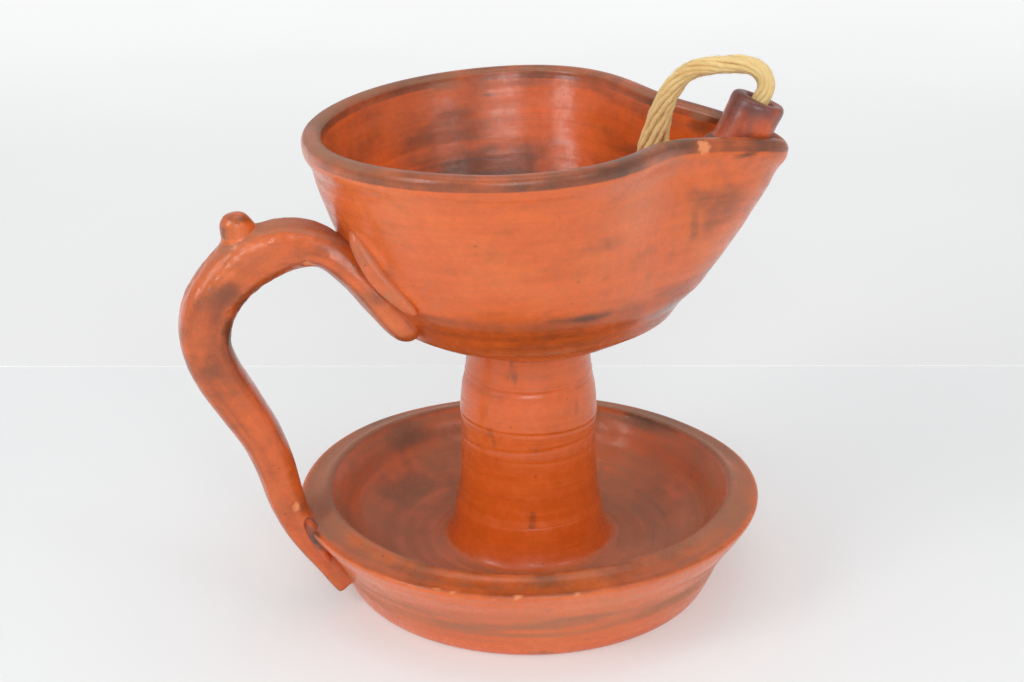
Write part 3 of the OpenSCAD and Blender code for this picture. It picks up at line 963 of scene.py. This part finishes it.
def terracotta(name, body, streak, pale, smoke_and_shade_tone, gloss=0.13, coat=0.8):
    """Burnished red slip over earthenware: strokes, blotches, dust and painted sheen, soot and painted
    shade, pits and bare chips.
    """
    n = Nodes(name)
    grain = n.attribute("grain").outputs["Vector"]
    marks = n.attribute("marks")
    # The dust mark also carries painted sheen, and the smoke and slip marks also carry painted shade
    split = n.add("SeparateColor", Color=marks.outputs["Color"])
    dust, smoke, bare = (split.outputs[k] for k in range(3))
    slip = marks.outputs["Alpha"]
    where = n.add("TexCoord").outputs["Object"]
    strokes = n.noise(n.scale(grain, (16, 16, 300)), 1.0, 4.0, 0.6)
    fine = n.noise(n.scale(grain, (42, 42, 2000)), 1.0, 2.0, 0.5)
    cloud = n.noise(where, 38.0, 3.0, 0.55)
    patch = n.noise(n.scale(where, (1, 1, 1.7)), 85.0, 4.0, 0.6)
    mottle = n.noise(where, 330.0, 3.0, 0.6)
    pits = n.noise(where, 1500.0, 2.0, 0.6)
    flecks = n.noise(where, 560.0, 2.0, 0.5)

    colour = n.blend(body, streak, n.span(strokes, 0.4, 0.7, 0.0, 0.34))
    colour = n.blend(colour, pale, n.span(cloud, 0.42, 0.66, 0.0, 0.6))
    colour = n.blend(colour, BLOTCH, n.span(patch, 0.5, 0.74, 0.0, 0.36))
    colour = n.blend(colour, FRESH_SLIP_AND_SHADE, n.math("MULTIPLY", slip, 0.7))
    tone = n.span(n.math("ADD", fine, mottle), 0.75, 1.3, 0.93, 1.06)
    grey = n.add("CombineColor", Red=tone, Green=tone, Blue=tone).outputs[0]
    colour = n.blend(colour, grey, 1.0, "MULTIPLY")
    ragged = n.math("MULTIPLY", n.math("SUBTRACT", n.math("ADD", strokes, patch), 1.0), 0.55)
    ragged = n.math("MULTIPLY", ragged, n.span(smoke, 0.02, 0.3))
    smoke_and_shade_mix = n.span(n.math("ADD", smoke, ragged), 0.05, 1.0)
    colour = n.blend(colour, smoke_and_shade_tone, smoke_and_shade_mix)
    speckle = n.math("MULTIPLY", n.math("SUBTRACT", n.math("ADD", mottle, strokes), 1.0), 0.6)
    speckle = n.math("MULTIPLY", speckle, n.span(dust, 0.02, 0.3))
    dust_and_sheen_mix = n.span(n.math("ADD", dust, speckle), 0.05, 1.05)
    colour = n.blend(colour, GREY_DUST_AND_SHEEN, n.math("MULTIPLY", dust_and_sheen_mix, 0.85))
    colour = n.blend(colour, DARK_FLECK, n.span(flecks, 0.7, 0.77, 0.0, 0.5))
    colour = n.blend(colour, BARE_CLAY, bare)

    worn = n.math("ADD", n.math("MULTIPLY", dust_and_sheen_mix, 0.75), n.math("MULTIPLY", bare, 0.9), True)
    rough = n.math("ADD", n.span(fine, 0.25, 0.75, 0.42, 0.54), n.math("MULTIPLY", worn, 0.3), True)
    sheen = n.math("MULTIPLY", n.math("SUBTRACT", 1.0, worn, True), coat)
    coat_rough = n.span(n.math("ADD", mottle, strokes), 0.75, 1.25, gloss, gloss + 0.26)
    height = n.math("ADD", n.math("MULTIPLY", fine, 0.22), n.math("MULTIPLY", strokes, 0.8))
    height = n.math("ADD", height, n.math("MULTIPLY", mottle, 0.35))
    height = n.math("ADD", height, n.math("MULTIPLY", n.span(pits, 0.62, 0.8), -0.4))
    bump = n.add("Bump", Strength=0.3, Distance=0.00028, Height=height)
    n.fill(n.shader, Base_Color=colour, Roughness=rough, Specular_IOR_Level=0.3,
           Coat_Weight=sheen, Coat_Roughness=coat_rough, Coat_IOR=1.5,
           Normal=bump.outputs[0], Coat_Normal=bump.outputs[0])
    return n.material


def cotton(name):
    """Straw-coloured cotton with long fibres, with painted shade in the grooves between strands and
    painted light on their outer crests.
    """
    n = Nodes(name)
    strand = n.attribute("strand").outputs["Vector"]
    split = n.add("SeparateXYZ", Vector=strand)
    where = n.add("TexCoord").outputs["Object"]
    fibre = n.noise(n.scale(strand, (0.3, 7.0, 0.4)), 1.6, 4.0, 0.7)
    patch = n.noise(where, 110.0, 3.0, 0.6)
    # Painted light and shade: strands are lighter where they face out and darker in the grooves between
    # them
    crest = n.span(split.outputs["Z"], -0.7, 0.9)
    colour = n.blend(rgb(206, 162, 92), rgb(236, 204, 138), crest)
    colour = n.blend(colour, rgb(246, 224, 170), n.span(fibre, 0.45, 0.72, 0.0, 0.7))
    colour = n.blend(colour, rgb(204, 160, 90), n.span(fibre, 0.5, 0.28, 0.0, 0.6))
    colour = n.blend(colour, rgb(212, 168, 98), n.span(patch, 0.48, 0.74, 0.0, 0.5))
    bump = n.add("Bump", Strength=0.8, Distance=0.00012, Height=fibre)
    n.fill(n.shader, Base_Color=colour, Roughness=0.9, Sheen_Weight=0.3, Sheen_Roughness=0.5,
           Normal=bump.outputs[0])
    return n.material


def matt_white(name, dull, bright, glow=0.0, far_glow=None):
    """A pale sheet that shines a little; far_glow is its brightness a metre behind the lamp."""
    n = Nodes(name)
    where = n.add("TexCoord").outputs["Object"]
    colour = n.blend(dull, bright, n.span(n.noise(where, 3.0, 2.0), 0.3, 0.7))
    if far_glow is not None:
        depth = n.add("SeparateXYZ", Vector=where).outputs["Y"]
        glow = n.span(depth, 0.1, 1.1, glow, far_glow)
    n.fill(n.shader, Base_Color=colour, Roughness=0.6, Specular_IOR_Level=0.2,
           Emission_Color=(1, 1, 1, 1), Emission_Strength=glow)
    return n.material


# -------------------- make the clay pieces

dish, column, fillet_coil, oil_bowl = drip_dish(), stem(), stem_foot_coil(), bowl()
pulled, root, foot, knob = handle(), handle_root_lute(), handle_foot_lute(), thumb_knob()
tube, bed = wick_tube(), tube_seat_coil()

weld((oil_bowl, root), 5)
weld((oil_bowl, pulled), 2.6)
weld((pulled, root), 4)
weld((dish, pulled), 1.6)
weld((pulled, foot), 1.6)
weld((dish, foot), 1.6)
weld((pulled, knob), 4)
weld((oil_bowl, bed), 2.5)
weld((bed, tube), 1.5)
weld((column, fillet_coil), 2)
weld((dish, fillet_coil), 2)
weld((oil_bowl, column), 1.5)

# Soft marks: centre, half size along X, Y and Z, strength, and then raggedness and seed
# The second and third rows are painted shade at the bowl's right edge over the lip and at its left edge
BOWL_SMOKE_AND_SHADE = [
    ((-16, 49, 114), (50, 34, 17), 0.85, 0.25), ((56, -20, 124), (28, 24, 22), 0.5, 0.5, 53),
    ((-62, -22, 126), (18, 26, 26), 0.35, 0.5, 54), ((-13, 60, 137), (6, 8, 1.2), 0.8),
    ((18, -45, 99.4), (30, 14, 3.2), 0.8, 0.2), ((-6, -43, 89.4), (22, 12, 1.3), 0.75),
    ((61, -15, 137.2), (12, 7, 1.8), 0.95), ((69, -8, 137), (8, 8, 6), 0.5),
    ((46.5, -24, 119), (4, 6, 11), 0.5), ((50, 15, 138), (12, 6, 4), 0.6),
    ((-30.9, -47.6, 108.9), (1.6, 2, 1), 0.9), ((-33, -50, 128), (13, 10, 3.4), 0.45),
    ((-37, -44, 111), (4, 6, 12), 0.35), ((20, -52, 122), (26, 16, 7), 0.3)]
# The third row is a painted highlight on the front of the foot's rounded corner
BOWL_DUST_AND_SHEEN = [
    ((-22, 50, 114), (8, 8, 5), 0.9, 0.9, 52), ((-27, 55, 141), (11, 8, 3), 0.8),
    ((0, -42, 87), (40, 20, 1.2), 0.6), ((50, 15.5, 140.5), (6, 4, 1.8), 0.9, 0.8)]
HANDLE_SMOKE = [
    ((-84.5, -31, 92), (6, 10, 16), 1.0), ((-78, -31, 103), (9, 9, 5), 0.7),
    ((-58, -26, 116), (10, 9, 5), 0.55), ((-95, -30, 92), (4, 8, 5), 0.5),
    ((-92, -30, 74), (4, 8, 5), 0.45)]
DISH_SMOKE = [
    ((-46, 42, 26), (32, 18, 8), 0.85), ((40, 47, 28.5), (34, 22, 7), 1.0, 0.2),
    ((10, 58, 26), (50, 16, 9), 0.7), ((-38, 28, 14), (34, 34, 12), 0.62, 0.6),
    ((42, 20, 12), (24, 32, 9), 0.5, 0.6), ((-62.5, -34.5, 28), (6, 9, 1.5), 1.0),
    ((6, -60, 1.5), (14, 10, 2.4), 0.7)]
for piece, mark, rows in ((oil_bowl, SMOKE_AND_SHADE, BOWL_SMOKE_AND_SHADE), (oil_bowl, DUST_AND_SHEEN, BOWL_DUST_AND_SHEEN),
                          (pulled, SMOKE_AND_SHADE, HANDLE_SMOKE), (dish, SMOKE_AND_SHADE, DISH_SMOKE)):
    for row in rows:
        smudge(piece, mark, *row)

# Places where the soot is rubbed off again: centre, half size and strength
for piece, centre, spread, strength in (
        (dish, (-52, -2, 18), (16, 16, 12), 0.8), (dish, (54, -4, 16), (12, 26, 14), 0.8),
        (tube, (69, -7, 141), (7, 7, 6), 0.95), (tube, (64, -9, 134), (6, 6, 5), 0.8)):
    wipe(piece, SMOKE_AND_SHADE, centre, spread, strength)

# Chips: centre, size and depth
for piece, centre, size, depth in (
        (oil_bowl, (48.2, -23.6, 142), 2.3, 0.3), (pulled, (-60.4, -31.8, 110.4), 2.2, 0.35),
        (pulled, (-68.5, -29.4, 34.6), 1.5, 0.35), (pulled, (-67.4, -28.8, 23), 0.9, 0.3),
        (dish, (-2.6, -69.6, 27.6), 0.9, 0.25), (dish, (-9, -69.2, 26.6), 0.8, 0.25)):
    chip(piece, centre, size, depth)
for turn in (249, 253, 281):
    chip(dish, place(DISH_R - 0.5, DISH_H - 2.4, turn), 0.8, 0.2)

CLAY = terracotta("burnished_terracotta", body=rgb(220, 99, 32), streak=rgb(190, 78, 20),
                  pale=rgb(224, 112, 48), smoke_and_shade_tone=rgb(88, 50, 28))
LUTE = terracotta("smeared_slip", body=rgb(204, 86, 34), streak=rgb(160, 60, 24),
                  pale=rgb(200, 104, 62), smoke_and_shade_tone=rgb(84, 54, 40), gloss=0.3, coat=0.5)
SMOKED = terracotta("smoked_terracotta", body=rgb(216, 88, 26), streak=rgb(170, 66, 26),
                    pale=rgb(206, 94, 44), smoke_and_shade_tone=rgb(104, 56, 50), gloss=0.12)
COTTON = cotton("twisted_cotton")

PIECES = [
    (dish, "drip_dish", CLAY, "terracotta"), (column, "stem", CLAY, "terracotta"),
    (fillet_coil, "stem_foot_coil", CLAY, "terracotta"), (oil_bowl, "bowl", CLAY, "terracotta"),
    (pulled, "handle", CLAY, "terracotta"), (root, "handle_root_lute", CLAY, "luting_clay"),
    (foot, "handle_foot_lute", LUTE, "luting_clay"), (knob, "thumb_knob", CLAY, "terracotta"),
    (tube, "wick_tube", SMOKED, "tube_clay"), (bed, "tube_seat_coil", LUTE, "luting_clay")]
for piece, node, material, slot in PIECES:
    obj = piece.build()
    obj.data.materials.append(material)
    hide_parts(node)
    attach(obj, "lamp")

for obj, node in ((wick, "wick"), (tail, "wick_tail")):
    obj.data.materials.append(COTTON)
    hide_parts(node)
    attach(obj, "wick")


# -------------------- floor, backdrop and light

# The studio is in metres. The floor reaches this far each way, and is this thick
FLOOR_HALF = 6.0
FLOOR_THICK = 0.01
# The pale sheet behind the lamp: where its front edge lies, and how thick it is
SHEET_Y = 0.163
SHEET_THICK = 0.0002


def slab(name, low, high, material):
    mesh = bpy.data.meshes.new(name)
    shape = bmesh.new()
    bmesh.ops.create_cube(shape, size=1)
    for v in shape.verts:
        v.co = [mix(a, b, c + 0.5) for a, b, c in zip(low, high, v.co)]
    shape.to_mesh(mesh)
    shape.free()
    obj = new_object(name, mesh)
    obj.data.materials.append(material)


slab("floor", (-FLOOR_HALF, -FLOOR_HALF, -FLOOR_THICK), (FLOOR_HALF, FLOOR_HALF, 0),
     matt_white("pale_floor", rgb(211, 214, 215), rgb(216, 219, 220), 0.24))
slab("backdrop", (-FLOOR_HALF, SHEET_Y, 0), (FLOOR_HALF, FLOOR_HALF, SHEET_THICK),
     matt_white("pale_sheet", rgb(229, 230, 231), rgb(233, 234, 235), 0.14, 0.42))


# Where the lights look, and how bright the plain world round the studio is
AIM = (0, 0, 0.08)
WORLD_LIGHT = 0.54


def soft_light(name, at, size, power):
    data = bpy.data.lights.new(name, "AREA")
    data.shape = "RECTANGLE"
    data.size, data.size_y = size
    data.energy = power
    obj = bpy.data.objects.new(name, data)
    bpy.context.scene.collection.objects.link(obj)
    look = (Vector(AIM) - Vector(at)).to_track_quat("-Z", "Y")
    obj.matrix_world = Matrix.Translation(at) @ look.to_matrix().to_4x4()


soft_light("left_softbox", (-0.98, -0.62, 0.76), size=(0.45, 0.7), power=4.4)
soft_light("right_softbox", (0.94, -0.66, 0.74), size=(0.4, 0.6), power=1.5)
soft_light("front_softbox", (0.1, -1.25, 0.62), size=(0.7, 0.5), power=5.2)
soft_light("top_softbox", (0.0, 0.05, 1.2), size=(0.9, 0.7), power=2.2)

world = bpy.data.worlds.new("studio")
world.use_nodes = True
background = world.node_tree.nodes["Background"]
background.inputs["Color"].default_value = (1, 1, 1, 1)
background.inputs["Strength"].default_value = WORLD_LIGHT
bpy.context.scene.world = world
bpy.context.scene.view_settings.view_transform = "Standard"
bpy.context.scene.view_settings.look = "None"
